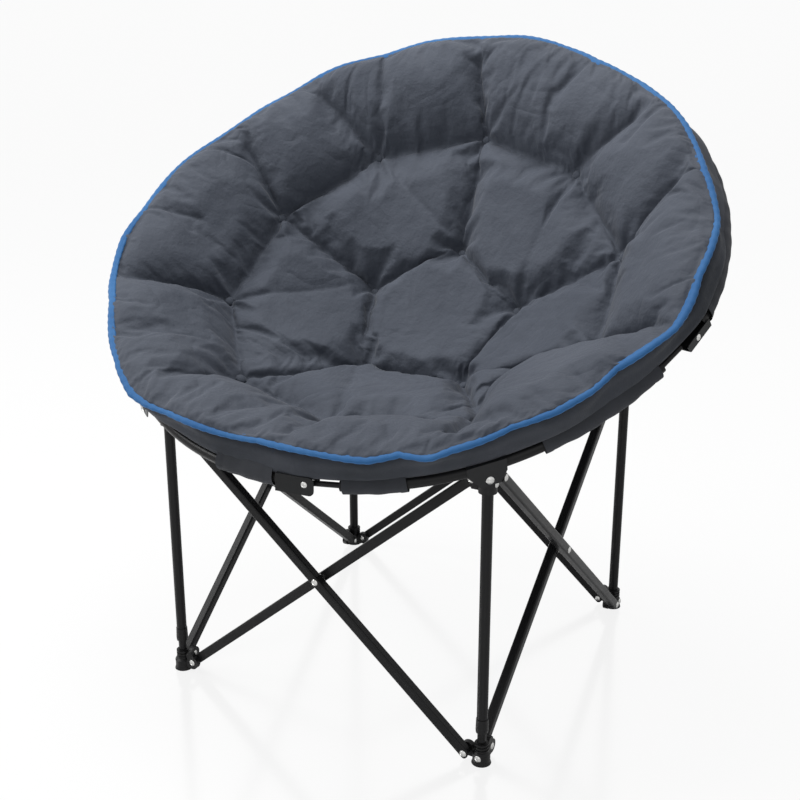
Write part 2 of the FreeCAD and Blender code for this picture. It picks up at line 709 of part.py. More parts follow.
def rim_piping():
    """Round binding along the whole rim of the pad."""
    rings = []
    for t in range(0, 361, 9):
        heading = rim(t + 1) - rim(t - 1)
        rings.append(Part.Wire(Part.makeCircle(PIPING_RADIUS, rim(t), heading)))
    quarter = len(rings) // 4
    runs = [rings[i:i + quarter + 1] for i in range(0, len(rings) - 1, quarter)]
    lofts = [Part.makeLoft(run, True, True) for run in runs]
    return lofts[0].multiFuse(lofts[1:])


def as_one(shapes):
    """Several separate solids in one shape."""
    return Part.makeCompound(shapes) if isinstance(shapes, list) else shapes


def frame_nodes():
    """Posts, hubs, bars and rivets."""
    nodes = {}
    outer, inner = front_bars()
    sides = {"front": 0, "right": 90, "rear": 180, "left": 270}
    for side, angle in sides.items():
        nodes["%s_outer_bar" % side] = turned(outer, angle)
        nodes["%s_inner_bar" % side] = turned(inner, angle)
        nodes["%s_crossing_rivet" % side] = turned(crossing_rivet(), angle)
    for corner, angle in CORNERS.items():
        front = corner[0] == "f"
        bore = INNER_RADIUS if front else POST_RADIUS
        nodes["foot_hub_" + corner] = turned(foot_hub(bore), angle)
        nodes["foot_rivets_" + corner] = turned(as_one(foot_rivets()), angle)
        if front:
            hub = top_hub(True)
            hub = hub if corner == "fr" else mirrored_front_hub()
        else:
            hub = turned(top_hub(False), angle)
        nodes["top_hub_" + corner] = hub
        nodes["top_rivets_" + corner] = turned(as_one(top_rivets(front)), angle)
        if front:
            nodes["inner_tube_" + corner] = turned(inner_tube(), angle)
            nodes["outer_tube_" + corner] = turned(outer_tube(), angle)
            nodes["tube_collar_" + corner] = turned(tube_collar(), angle)
        else:
            nodes["rear_upright_" + corner] = turned(rear_upright(), angle)
    return nodes


def mirrored_front_hub():
    """Front left hub: turned like the others, with its boss mirrored from the right."""
    left = V(-HALF, -HALF, 0)
    body = turned(top_hub(False), CORNERS["fl"])
    body = body.fuse(mirrored(pin_boss()))
    body = body.fuse(rod(HUB_RADIUS - 1, left + UP * HUB_BOTTOM_Z, left + UP * HUB_TOP_Z))
    body = body.cut(rod(POST_RADIUS, left + UP * (HUB_BOTTOM_Z - 1), left + UP * POST_SEAT_Z))
    body = body.cut(mirrored(pin_hole()))
    for start, end, radius in top_pin_lines(True):
        body = body.cut(turned(rod(radius, start, end), CORNERS["fl"]))
    return body.removeSplitter()


def ring_nodes():
    """Seat ring: arcs, saddles, clamps, hinge housings, rivets and sleeves."""
    nodes = {}
    side_end = FRONT_ARC.length - SIDE_TUBE_STOP
    nodes["ring_arc_fr"] = front_arc(True)
    nodes["ring_arc_fl"] = mirrored(front_arc(False))
    nodes["ring_arc_rr"] = rear_arc(True)
    nodes["ring_arc_rl"] = mirrored(rear_arc(False))
    nodes["ring_saddle_fr"] = saddle()
    nodes["ring_saddle_fl"] = mirrored(saddle())
    nodes["ring_clamp_rr"] = ring_clamp()
    nodes["ring_clamp_rl"] = mirrored(ring_clamp())
    nodes["ring_hinge_front"] = middle_housing(FRONT_ARC)
    nodes["ring_hinge_rear"] = middle_housing(REAR_ARC)
    nodes["ring_hinge_right"] = side_housing()
    nodes["ring_hinge_left"] = mirrored(side_housing())
    nodes["ring_rivets_fr"] = saddle_pin()
    nodes["ring_rivets_fl"] = as_one([mirrored(saddle_pin())] + middle_housing_rivets(FRONT_ARC))
    nodes["ring_rivets_rr"] = as_one([clamp_pin()] + side_housing_rivets())
    left = [mirrored(s) for s in [clamp_pin()] + side_housing_rivets()]
    nodes["ring_rivets_rl"] = as_one(left + middle_housing_rivets(REAR_ARC))
    long_front = (380, side_end - 8)
    nodes["ring_sleeves_fr"] = as_one(sleeves(FRONT_ARC, [(108, 196), long_front]))
    left_front = sleeves(FRONT_ARC, [(-10, 92), long_front])
    nodes["ring_sleeves_fl"] = as_one([mirrored(s) for s in left_front])
    rear_pin = REAR_ARC.distance(REAR_PIN)
    rear_side = (rear_pin + 34, REAR_ARC.length - 16)
    right_rear = [(MIDDLE_TUBE_STOP + 6, rear_pin - 34), rear_side]
    nodes["ring_sleeves_rr"] = as_one(sleeves(REAR_ARC, right_rear))
    left_rear = sleeves(REAR_ARC, [(-10, rear_pin - 34), rear_side])
    nodes["ring_sleeves_rl"] = as_one([mirrored(s) for s in left_rear])
    return nodes


def seat_nodes():
    """Padded seat, its binding, its buttons and the cloth shell under it."""
    return {
        "seat_cushion": cushion(),
        "seat_rim_piping": rim_piping(),
        "seat_buttons": as_one(buttons()),
        "seat_sling": seat_layer(sling_profile),
    }


def main():
    os.makedirs("parts", exist_ok=True)
    nodes = {}
    nodes.update(frame_nodes())
    nodes.update(ring_nodes())
    nodes.update(seat_nodes())
    whole = FreeCAD.BoundBox()
    for name, shape in nodes.items():
        copy = shape.copy()
        copy.translate(V(0, -BOX_CENTRE_Y, 0))
        whole.add(copy.BoundBox)
        if not copy.isValid() or not copy.Solids:
            print("check", name)
        copy.exportStep("parts/%s.step" % name)
    print(len(nodes), "nodes, box", whole)


main()
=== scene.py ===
# %% [markdown]
# # A folding saucer chair
#
# This file dresses a folding chair that was built as solids first. The solids are
# the truth about size and motion: posts, scissor bars, hubs, and a hinged tube
# ring. Blender adds what solids can't show well: a tufted pad with soft creases,
# its blue binding, the cloth shell under it, and finishes on every piece.
# Everything is in metres, in the same frame as the solids, so a piece is made
# where it belongs and is never moved into place afterwards.

# %% Load the fixed frame
import math

import bpy
import numpy as np
from mathutils import Matrix, Vector


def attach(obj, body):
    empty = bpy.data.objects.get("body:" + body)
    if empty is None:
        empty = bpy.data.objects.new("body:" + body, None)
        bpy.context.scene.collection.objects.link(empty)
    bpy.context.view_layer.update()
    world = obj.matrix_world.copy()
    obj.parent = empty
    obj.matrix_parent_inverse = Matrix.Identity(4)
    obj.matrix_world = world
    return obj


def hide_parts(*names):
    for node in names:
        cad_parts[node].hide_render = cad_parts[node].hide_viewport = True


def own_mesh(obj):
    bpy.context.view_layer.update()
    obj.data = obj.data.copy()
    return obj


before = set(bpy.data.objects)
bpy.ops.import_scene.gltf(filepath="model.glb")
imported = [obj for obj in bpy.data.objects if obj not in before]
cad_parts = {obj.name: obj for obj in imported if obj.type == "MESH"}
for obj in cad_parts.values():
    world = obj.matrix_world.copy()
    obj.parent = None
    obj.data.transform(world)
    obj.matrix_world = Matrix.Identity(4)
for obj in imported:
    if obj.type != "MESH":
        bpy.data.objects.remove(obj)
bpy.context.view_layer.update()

# %% [markdown]
# ## Camera
#
# The photograph was taken from a little to the right of the front and from above
# seat height. The camera's place and aim were worked out from the four feet and
# the posts, so the lens can stay free of any shift. A camera looks along its own
# -Z, so its three axes are written as the columns of a matrix.

# %% Camera
CAMERA_PLACE = Vector((0.9374, -1.68564, 1.1041))
CAMERA_RIGHT = Vector((0.8733, 0.4872, 0.0))
CAMERA_UP = Vector((-0.1600, 0.2869, 0.9445))
CAMERA_BACK = Vector((0.4602, -0.8248, 0.3285))
LENS = 57.70


def add_camera():
    """Camera at the photograph's place, 36 mm wide sensor."""
    data = bpy.data.cameras.new("camera")
    data.lens = LENS
    data.sensor_width = 36.0
    camera = bpy.data.objects.new("camera", data)
    turn = Matrix((CAMERA_RIGHT, CAMERA_UP, CAMERA_BACK)).transposed()
    camera.matrix_world = Matrix.Translation(CAMERA_PLACE) @ turn.to_4x4()
    bpy.context.scene.collection.objects.link(camera)
    bpy.context.scene.camera = camera
    return camera


camera = add_camera()
print("camera", [round(x, 3) for x in camera.location])

# %% [markdown]
# ## Shader expressions
#
# A finish is a small graph of nodes. Writing it as arithmetic keeps it readable:
# `Wire` wraps a node's output, and `mask * 0.3 + 0.1` adds two Math nodes.
# `Finish` holds one material's tree and has a single method that makes any node:
# its settings first, because they can change its sockets, and then its inputs.


# %% A wire that can be used in arithmetic
class Wire:
    """Output of a node, with Python's operators adding Math nodes."""

    def __init__(self, finish, socket):
        self.finish = finish
        self.socket = socket

    def maths(self, operation, first, second):
        return self.finish.node("Math", {"operation": operation}, {0: first, 1: second})

    def __add__(self, other):
        return self.maths("ADD", self, other)

    def __radd__(self, other):
        return self.maths("ADD", other, self)

    def __sub__(self, other):
        return self.maths("SUBTRACT", self, other)

    def __rsub__(self, other):
        return self.maths("SUBTRACT", other, self)

    def __mul__(self, other):
        return self.maths("MULTIPLY", self, other)

    def __rmul__(self, other):
        return self.maths("MULTIPLY", other, self)


# %% A finish: one material and its tree
class Finish:
    """A material's node tree, filled by one method for every kind of node."""

    def __init__(self, name):
        self.material = bpy.data.materials.new(name)
        self.material.use_nodes = True
        self.tree = self.material.node_tree
        self.shader = self.tree.nodes["Principled BSDF"]

    def feed(self, socket, value):
        """Sets a socket to a number or colour, or links a wire to it."""
        if isinstance(value, Wire):
            self.tree.links.new(value.socket, socket)
        else:
            socket.default_value = value

    def node(self, kind, settings=None, sockets=None, output=0):
        """Adds a node, applies its settings, then feeds its sockets."""
        made = self.tree.nodes.new("ShaderNode" + kind)
        for key, value in (settings or {}).items():
            setattr(made, key, value)
        for key, value in (sockets or {}).items():
            self.feed(made.inputs[key], value)
        return Wire(self, made.outputs[output])

    def place(self):
        """Position on the object, in metres."""
        return self.node("TexCoord", output=3)

    def stretched(self, scale):
        """Position, scaled differently along each axis."""
        return self.node("Mapping", {}, {"Vector": self.place(), "Scale": scale})

    def noise(self, scale, detail=2.0, roughness=0.5, where=None):
        """Cloudy value from 0 to 1."""
        sockets = {"Vector": where or self.place(), "Scale": scale, "Detail": detail,
                   "Roughness": roughness}
        return self.node("TexNoise", {}, sockets)

    def step(self, value, low, high):
        """0 below low, 1 above high, straight between."""
        return self.node("MapRange", {"clamp": True},
                         {"Value": value, "From Min": low, "From Max": high})

    def colours(self, mask, low, high):
        """Colour that goes from low to high as the mask goes from 0 to 1."""
        return self.node("Mix", {"data_type": "RGBA"}, {0: mask, 6: low, 7: high}, output=2)

    def bump(self, height, distance, strength=1.0, under=None):
        """Normal that follows a height, in metres; under is a coarser bump's normal."""
        sockets = {"Height": height, "Distance": distance, "Strength": strength}
        if under is not None:
            sockets["Normal"] = under
        return self.node("Bump", {}, sockets)

    def set(self, **sockets):
        """Feeds the surface shader; underscores stand for spaces."""
        for key, value in sockets.items():
            self.feed(self.shader.inputs[key.replace("_", " ")], value)
        return self.material


def rgb(red, green, blue):
    """Colour from the 0 to 255 values seen on screen, made linear for the shader."""
    linear = []
    for value in (red, green, blue):
        share = value / 255
        linear.append(share / 12.92 if share < 0.04045 else ((share + 0.055) / 1.055) ** 2.4)
    return (*linear, 1.0)


# %% [markdown]
# ## Black enamel
#
# Posts, bars and the ring are powder-coated steel tube. The coat is near black
# with a satin gloss, a fine orange-peel skin and a few paler specks of dust. A
# tiny bump from two noises gives the skin, and the roughness varies slowly, as on
# handled tube.


# %% Enamel for tubes and bars
def enamel():
    finish = Finish("black enamel")
    smudge = finish.noise(18.0, 3.0)
    peel = finish.noise(1400.0, 1.0)
    dust = finish.step(finish.noise(260.0, 4.0, 0.7), 0.62, 0.78)
    colour = finish.colours(smudge, rgb(22, 22, 23), rgb(32, 32, 33))
    colour = finish.colours(dust * 0.2, colour, rgb(74, 74, 76))
    return finish.set(Base_Color=colour, Roughness=smudge * 0.14 + 0.28 + dust * 0.1,
                      Specular_IOR_Level=0.16, Normal=finish.bump(peel, 0.00012, 0.35))


# %% [markdown]
# ## Moulded plastic
#
# The feet, the top hubs and the collars on the telescopic posts are black
# moulded nylon: duller than the enamel, with a fine spark-eroded grain. A
# Voronoi pattern gives the grain's little pits.


# %% Plastic for feet, hubs and collars
def moulded():
    finish = Finish("moulded plastic")
    grain = finish.node("TexVoronoi", {}, {"Vector": finish.place(), "Scale": 1900.0})
    wear = finish.step(finish.noise(55.0, 5.0, 0.65), 0.52, 0.75)
    colour = finish.colours(wear, rgb(20, 20, 21), rgb(36, 36, 38))
    return finish.set(Base_Color=colour, Roughness=wear * 0.15 + 0.40, Specular_IOR_Level=0.22,
                      Normal=finish.bump(grain, 0.0001, 0.4))


# %% [markdown]
# ## Brackets and rivets
#
# The saddles, clamps and hinge housings are folded or cast pieces with a coat
# that is smoother than the plastic. The rivets are plated steel: bright, with
# short scratches from the tool that closed them, made by a noise that is
# stretched along one axis.


# %% Satin coat for brackets
def satin_coat():
    finish = Finish("satin coat")
    cloud = finish.noise(40.0, 4.0, 0.6)
    colour = finish.colours(cloud, rgb(22, 23, 24), rgb(34, 35, 37))
    fine = finish.noise(900.0, 2.0)
    return finish.set(Base_Color=colour, Roughness=cloud * 0.2 + 0.28, Specular_IOR_Level=0.22,
                      Normal=finish.bump(fine, 0.00015, 0.4))


def plated():
    finish = Finish("plated rivet")
    scratch = finish.noise(320.0, 3.0, 0.6, finish.stretched((1.0, 1.0, 9.0)))
    colour = finish.colours(scratch, rgb(168, 168, 166), rgb(222, 222, 220))
    return finish.set(Base_Color=colour, Metallic=1.0, Roughness=scratch * 0.25 + 0.18,
                      Normal=finish.bump(scratch, 0.0002, 0.3))


# %% Give the carried-over pieces their finishes
ENAMEL, MOULDED, SATIN, PLATED = enamel(), moulded(), satin_coat(), plated()
FINISH_BY_WORD = (("rivet", PLATED), ("foot_hub", MOULDED), ("top_hub", MOULDED),
                  ("tube_collar", MOULDED), ("ring_saddle", SATIN), ("ring_clamp", SATIN),
                  ("ring_hinge", SATIN), ("bar", ENAMEL), ("tube", ENAMEL),
                  ("upright", ENAMEL), ("ring_arc", ENAMEL))


def finish_for(name):
    """Finish of a carried-over piece, by the first word that its name holds."""
    for word, material in FINISH_BY_WORD:
        if word in name:
            return material
    return None


painted = 0
for name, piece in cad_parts.items():
    if finish_for(name):
        piece.data.materials.clear()
        piece.data.materials.append(finish_for(name))
        painted += 1
print("carried-over pieces with a finish:", painted)

# %% [markdown]
# ## The seat's own map
#
# A round seat is easiest to draw on a round map: `t` is the angle from the front
# in degrees and `rho` goes from 0 at the middle to 1 at the rim. `rim` says where
# the edge runs, and `bowl` how deep the seat sags under it. The pad, its binding
# and the shell all use this one map, so they fit each other. Numpy works out all
# points of a piece at once.

# %% Seat map
POST_SHIFT = 0.02186
TILT = math.radians(34.0)
SEAT_NORMAL = np.array((0.0, -math.sin(TILT), math.cos(TILT)))
SEAT_CENTRE = np.array((0.0, -0.030 + POST_SHIFT, 0.722))


def bell(distance):
    """Smooth bump: 1 at no distance, fading to 0 past 2."""
    return np.exp(-distance * distance)


def away(t, centre):
    """Signed angle between two directions on the map, in degrees."""
    return (t - centre + 180.0) % 360.0 - 180.0


def rim(t):
    """Edge of the seat at angles t, as an array of points."""
    a = np.radians(t)
    x = 0.4815 * np.sin(a) + 0.0190 * np.sin(2 * a)
    y = -0.0347 - 0.3633 * np.cos(a) - 0.0057 * np.cos(2 * a) + POST_SHIFT
    z = 0.7180 - 0.2467 * np.cos(a) + 0.0038 * np.cos(2 * a) - 0.0032 * np.cos(3 * a)
    return np.stack((x, y, z), -1)


def bowl(t, rho):
    """Depth of the seat under its rim plane."""
    back = -rho * 0.438 * np.cos(np.radians(t))
    sag = 0.060 * bell((back + 0.120) / 0.200)
    return -(0.220 + sag) * (1 - rho * rho)


def seat_point(t, rho, height):
    """Points at a height over the seat's middle surface."""
    spoke = rim(t) - SEAT_CENTRE
    lift = bowl(t, rho) + height
    return SEAT_CENTRE + spoke * rho[..., None] + SEAT_NORMAL * lift[..., None]


print("rim front", rim(np.array([0.0])).round(3))

# %% [markdown]
# ## Where the tufts go
#
# Fifteen covered buttons are drawn through the pad: ten in an outer ring and five
# in an inner one. The cover is slack, so it folds into a crease along each line
# from a button to its neighbours, and fans out in short folds round the button
# itself. `CREASES` lists those lines on the map, each with how wide and how deep
# it is. Lines out to the rim bend a little, as they do on the real pad. The fold
# between the seat's floor and its back is the deepest. `PULLS` lists the corners of
# the rim, where short creases start too.

# %% Buttons and creases on the map
OUTER_RHO, INNER_RHO = 0.69, 0.30
OUTER = [(OUTER_RHO, 36.0 * i) for i in range(10)]
INNER = [(INNER_RHO, 36.0 + 72.0 * i) for i in range(5)]
BUTTONS = OUTER + INNER
# Pulls on the rim: angle from the front and reach to each side, in degrees, and how
# far its corner stands out of the smooth rim, in mm
PULLS = ((358.0, 24.0, -20.0), (22.0, 5.0, -10.0), (26.0, 4.0, 5.0), (40.0, 14.0, -16.0),
         (60.0, 13.0, -19.0), (86.0, 15.0, -11.0), (113.0, 14.0, -7.0), (134.0, 10.0, 3.0),
         (155.0, 12.0, -9.0), (185.0, 20.0, 3.0), (207.0, 9.0, -7.0), (222.0, 8.0, 3.0),
         (240.0, 14.0, -4.0), (274.0, 16.0, -6.0), (303.0, 20.0, -16.0), (330.0, 9.0, 10.0))


MAP_HALF_WIDTH, MAP_HALF_DEPTH = 0.50, 0.46


def spread_out(t, rho):
    """Plane coordinates in metres of points on the map, front at -y."""
    a = np.radians(t)
    return rho * np.sin(a) * MAP_HALF_WIDTH, -rho * np.cos(a) * MAP_HALF_DEPTH


def flat(rho, t):
    """One point of the map as plane coordinates."""
    return np.array(spread_out(t, rho))


def lines():
    """Creases as (start, end, half width, depth), in metres."""
    found = []
    for i, (rho, t) in enumerate(OUTER):
        ahead = OUTER[(i + 1) % len(OUTER)]
        found.append((flat(rho, t), flat(*ahead), 0.018, 0.029 if t > 280.0 else 0.025))
        bend = (7.0, -6.0, 4.0)[i % 3]
        found.append((flat(rho, t), flat(0.90, t + bend), 0.022, 0.023))
    for i, (rho, t) in enumerate(INNER):
        front = t < 40.0 or t > 320.0
        found.append((flat(rho, t), flat(OUTER_RHO, t), 0.018, 0.029 if front else 0.024))
        ahead = INNER[(i + 1) % len(INNER)]
        found.append((flat(rho, t), flat(*ahead), 0.020, 0.028 if t > 320.0 else 0.010))
        found.append((flat(rho, t), flat(OUTER_RHO, t + 36.0), 0.030, 0.008))
    for i, (t, _, _) in enumerate(PULLS):
        reach = (0.92, 0.84, 0.88)[i % 3]
        lean = (3.0, -4.0, 2.0, -1.5)[i % 4]
        found.append((flat(1.0, t), flat(reach, t + lean), 0.010, 0.009))
    return found


CREASES = lines()
print("buttons", len(BUTTONS), "creases", len(CREASES))

# %% [markdown]
# ## The pad before it is stuffed
#
# The pad's cover starts as a grid laid on the round map. The grid is a square
# whose rings are bent into circles, so its cells keep nearly one size and none
# shrinks to a point in the middle. Its height is low along the creases and at the
# buttons, and gently raised between them. Two slack rolls lie along the rim, a
# high one at the right front and a low one at the front lip. At the rim itself the
# cover comes down to the binding.

# %% Grid on the round map
PAD_CELLS = 176


def round_grid(cells):
    """Angles and rho of a square grid bent into a disc, and its faces."""
    line = np.linspace(-1.0, 1.0, cells + 1)
    u, v = np.meshgrid(line, line)
    wide = np.abs(u) >= np.abs(v)
    reach = np.where(wide, np.abs(u), np.abs(v))
    safe_u, safe_v = np.where(u == 0, 1e-9, u), np.where(v == 0, 1e-9, v)
    turn = np.where(wide, np.where(u < 0, 180.0, 0.0) + 45.0 * v / safe_u,
                    np.where(v < 0, 270.0, 90.0) - 45.0 * u / safe_v)
    row = cells + 1
    index = np.arange(row * row).reshape(row, row)
    faces = np.stack((index[:-1, :-1], index[:-1, 1:], index[1:, 1:], index[1:, :-1]), -1)
    return (turn.ravel() + 90.0) % 360.0, reach.ravel(), faces.reshape(-1, 4)


def along_line(x, y, start, end):
    """Distance of map points from a line piece, in metres."""
    step = end - start
    share = ((x - start[0]) * step[0] + (y - start[1]) * step[1]) / step.dot(step)
    share = np.clip(share, 0.0, 1.0)
    return np.hypot(x - start[0] - share * step[0], y - start[1] - share * step[1]), share


def star_folds(x, y, place, seed):
    """Short folds that fan out round a button, strongest about 30 mm from it."""
    angle = np.arctan2(y - place[1], x - place[0])
    distance = np.hypot(x - place[0], y - place[1])
    wave = np.sin(5 * angle + seed) + 0.6 * np.sin(8 * angle + 2.3 * seed + 1.0)
    return wave * bell((distance - 0.030) / 0.024)


# Rolls along the rim: middle angle, half width in degrees, reach inwards as a
# share of the radius, crest height and inner fall in metres and shares
ROLLS = ((53.0, 20.5, 0.40, 0.062, 0.045), (354.0, 33.0, 0.19, 0.038, 0.080))
DIP_INSIDE, DIP_WIDTH, DIP_DEPTH = 2.2, 0.06, 0.022
PANEL_TOP = 0.032
BUTTON_FLOOR, BUTTON_RISE, BUTTON_REACH = 0.004, 0.034, 0.026
STAR_FOLD = 0.0034
LOWEST = 0.003
EDGE_BAND = 0.13


def rolls(t, rho):
    """Height of the slack folds along the rim, how much they cover, and the dip inside them."""
    height, cover, sunk = np.zeros((3, *rho.shape))
    for middle, spread, reach, crest, fall in ROLLS:
        strength = np.exp(-(away(t, middle) / spread) ** 4)
        crest_at = 1.0 - reach * strength
        dip_at = crest_at - DIP_INSIDE * fall
        sunk = np.maximum(sunk, strength * bell((rho - dip_at) / DIP_WIDTH))
        inward = bell(np.clip(crest_at - rho, 0.0, None) / fall)
        outward = np.clip((1.0 - rho) / np.maximum(1.0 - crest_at, 0.03), 0.0, 1.0)
        shape = np.where(rho < crest_at, inward, np.sin(outward * math.pi / 2) ** 0.6)
        height = np.maximum(height, crest * strength * shape)
        cover = np.maximum(cover, strength * shape)
    return height, cover, sunk


def tuft_height(t, rho):
    """Height of the cover over the pad's middle surface before stuffing."""
    x, y = spread_out(t, rho)
    top = np.full_like(rho, PANEL_TOP)
    height = top.copy()
    for start, end, half, depth in CREASES:
        distance, share = along_line(x, y, start, end)
        keep = 1.0 - 0.30 * np.sin(math.pi * share) * (depth > 0.02)
        fade = np.exp(-(distance / half) ** 0.8 * 1.5)
        height = np.minimum(height, top - depth * keep * fade)
    for number, button in enumerate(BUTTONS):
        place = flat(*button)
        distance = np.hypot(x - place[0], y - place[1])
        round_it = BUTTON_FLOOR + BUTTON_RISE * (1 - np.exp(-distance / BUTTON_REACH))
        height = np.minimum(height, round_it) + STAR_FOLD * star_folds(x, y, place, 1.7 * number)
    edge = np.clip((1.0 - rho) / EDGE_BAND, 0.0, 1.0)
    roll, _, sunk = rolls(t, rho)
    height = np.maximum(height - DIP_DEPTH * sunk, LOWEST)
    return np.maximum(height * np.sin(edge * math.pi / 2) ** 0.7 + 0.001, roll)


# %% [markdown]
# ## The rim's corners
#
# The binding is sewn on in straight runs, so the edge isn't a clean oval: it goes
# from corner to corner, some of them standing out and some pulled in. Each pull in
# `PULLS` bends the edge into a corner and dies away straight to both sides. The
# edge also rises and falls a little. The pad and the binding share it.

# %% Edge line with its corners
def edge_shift(t):
    """How far the rim stands out from its smooth line and how far it is lifted, in metres."""
    out = np.zeros_like(t)
    for corner, reach, move in PULLS:
        out = out + 0.001 * move * np.clip(1.0 - np.abs(away(t, corner)) / reach, 0.0, 1.0)
    lifted = 0.0022 * np.sin(np.radians(7 * t + 40)) + 0.0016 * np.sin(np.radians(17 * t))
    return out, lifted


def edge_point(t):
    """Real edge of the pad at angles t."""
    out, lifted = edge_shift(t)
    spoke = rim(t) - SEAT_CENTRE
    spoke = spoke / np.linalg.norm(spoke, axis=-1, keepdims=True)
    return rim(t) + spoke * out[..., None] + SEAT_NORMAL * lifted[..., None]


def pad_point(t, rho, height):
    """Point of the pad; near its rim it follows the cornered edge."""
    pull = np.clip((rho - 0.80) / 0.20, 0.0, 1.0)[..., None] ** 2
    return seat_point(t, rho, height) + (edge_point(t) - rim(t)) * pull


# %% Cover mesh
def new_mesh(name, points, faces, smooth=True):
    """Object from arrays of points and faces."""
    mesh = bpy.data.meshes.new(name)
    mesh.from_pydata([tuple(p) for p in points], [], [tuple(int(i) for i in f) for f in faces])
    mesh.polygons.foreach_set("use_smooth", [smooth] * len(mesh.polygons))
    mesh.update()
    piece = bpy.data.objects.new(name, mesh)
    bpy.context.scene.collection.objects.link(piece)
    return piece


pad_t, pad_rho, pad_faces = round_grid(PAD_CELLS)
pad_start = pad_point(pad_t, pad_rho, tuft_height(pad_t, pad_rho))
cover = new_mesh("pad_cover", pad_start, pad_faces)
print("cover points", len(pad_start))

# %% [markdown]
# ## Stuffing the pad
#
# Real tufting is a slack cover over springy filling, held down at the buttons.
# Blender's cloth does the same: the cover is pushed up by a little pressure and is
# cut slightly too large, so it has to fold somewhere. The buttons and the rim are
# pinned. The creases are half pinned, which leaves them free to wander. The cloth
# runs for a few frames and its shape is then kept as the mesh.

# %% Stuffing by cloth
CLOTH_FRAMES = 14
COVER_EXCESS = -0.07
CREASE_HOLD = 0.35
PIN_LEVELS = 20


def pin_weights(t, rho):
    """How firmly each point is held: 1 at buttons and rim, part way on creases."""
    x, y = spread_out(t, rho)
    held = np.zeros_like(rho)
    for start, end, half, depth in CREASES:
        distance, _ = along_line(x, y, start, end)
        held = np.maximum(held, CREASE_HOLD * depth / 0.023 * bell(distance / 0.006))
    held = held * (1.0 - 0.9 * rolls(t, rho)[1])
    for button in BUTTONS:
        place = flat(*button)
        held = np.maximum(held, bell(np.hypot(x - place[0], y - place[1]) / 0.009) * 1.2)
    held = np.maximum(held, np.clip((rho - 0.975) / 0.02, 0.0, 1.0))
    return np.clip(held, 0.0, 1.0)


def stuff(piece, weights, frames, excess):
    """Runs cloth with pins and pressure, and returns the new points."""
    group = piece.vertex_groups.new(name="held")
    for level in range(1, PIN_LEVELS + 1):
        chosen = np.nonzero(np.round(weights * PIN_LEVELS).astype(int) == level)[0]
        group.add([int(i) for i in chosen], level / PIN_LEVELS, "REPLACE")
    cloth = piece.modifiers.new("cloth", "CLOTH")
    cloth.settings.quality = 5
    cloth.settings.mass = 0.02
    cloth.settings.tension_stiffness = 12.0
    cloth.settings.compression_stiffness = 12.0
    cloth.settings.shear_stiffness = 4.0
    cloth.settings.bending_stiffness = 0.35
    cloth.settings.tension_damping = 8.0
    cloth.settings.compression_damping = 8.0
    cloth.settings.air_damping = 2.0
    cloth.settings.vertex_group_mass = "held"
    cloth.settings.pin_stiffness = 1.0
    cloth.settings.shrink_min = excess
    cloth.settings.use_pressure = True
    cloth.settings.uniform_pressure_force = 5.0
    cloth.settings.effector_weights.gravity = 0.0
    cloth.collision_settings.use_collision = False
    cloth.point_cache.frame_start = 1
    cloth.point_cache.frame_end = frames
    for number in range(1, frames + 1):
        bpy.context.scene.frame_set(number)
    graph = bpy.context.evaluated_depsgraph_get()
    settled = piece.evaluated_get(graph).data
    points = np.zeros(len(settled.vertices) * 3)
    settled.vertices.foreach_get("co", points)
    piece.modifiers.remove(cloth)
    piece.vertex_groups.remove(group)
    bpy.context.scene.frame_set(1)
    return points.reshape(-1, 3)


settled = stuff(cover, pin_weights(pad_t, pad_rho), CLOTH_FRAMES, COVER_EXCESS)
moved = settled - pad_start
print("cloth moved the cover by up to", round(float(np.abs(moved).max()), 4))

# %% [markdown]
# ## Closing the pad
#
# Cloth can travel further than stuffing would let it, so each point's move is
# capped. The cover then gets an underside that follows the shell, joined to it
# all along the rim, and one subdivision rounds the small facets. The cover is
# thin cloth over fibre.

# %% Pad
LONGEST_MOVE = 0.022
UNDERSIDE = -0.011


def capped(move, longest):
    """Moves shortened to a longest length."""
    length = np.linalg.norm(move, axis=1, keepdims=True)
    return move * np.minimum(1.0, longest / np.maximum(length, 1e-9))


def closed_pad(points, t, rho, faces):
    """Pad from its cover points and an underside that shares the rim."""
    inside = rho < 0.9999
    under = pad_point(t, rho, UNDERSIDE * np.clip((1 - rho) / 0.08, 0.0, 1.0) - 0.001)
    renumber = np.arange(len(points))
    renumber[inside] = len(points) + np.arange(inside.sum())
    everything = np.concatenate((points, under[inside]))
    return new_mesh("seat_pad", everything, np.concatenate((faces, renumber[faces][:, ::-1])))


pad_points = pad_start + capped(moved, LONGEST_MOVE)
pad = closed_pad(pad_points, pad_t, pad_rho, pad_faces)
bpy.data.objects.remove(cover)
pad.modifiers.new("round", "SUBSURF").levels = 1
pad.modifiers["round"].render_levels = 1
print("pad points", len(pad.data.vertices))

# %% [markdown]
# ## The rim's binding
#
# A blue woven tape is folded over the pad's edge and sewn through. On the chair it
# is about 10 mm wide from the front, a little wider where it puckers. Here it is a
# flat oval swept along the cornered edge: it swells and thins, a groove marks the
# stitch line on its inner side, and a fine ripple crosses it where the stitches
# pull.

# %% Binding
BINDING_STATIONS = 1080
BINDING_SECTION = 20
BINDING_HALF_WIDTH, BINDING_HALF_THICKNESS = 0.0060, 0.0035
BINDING_SET_IN = 0.0012


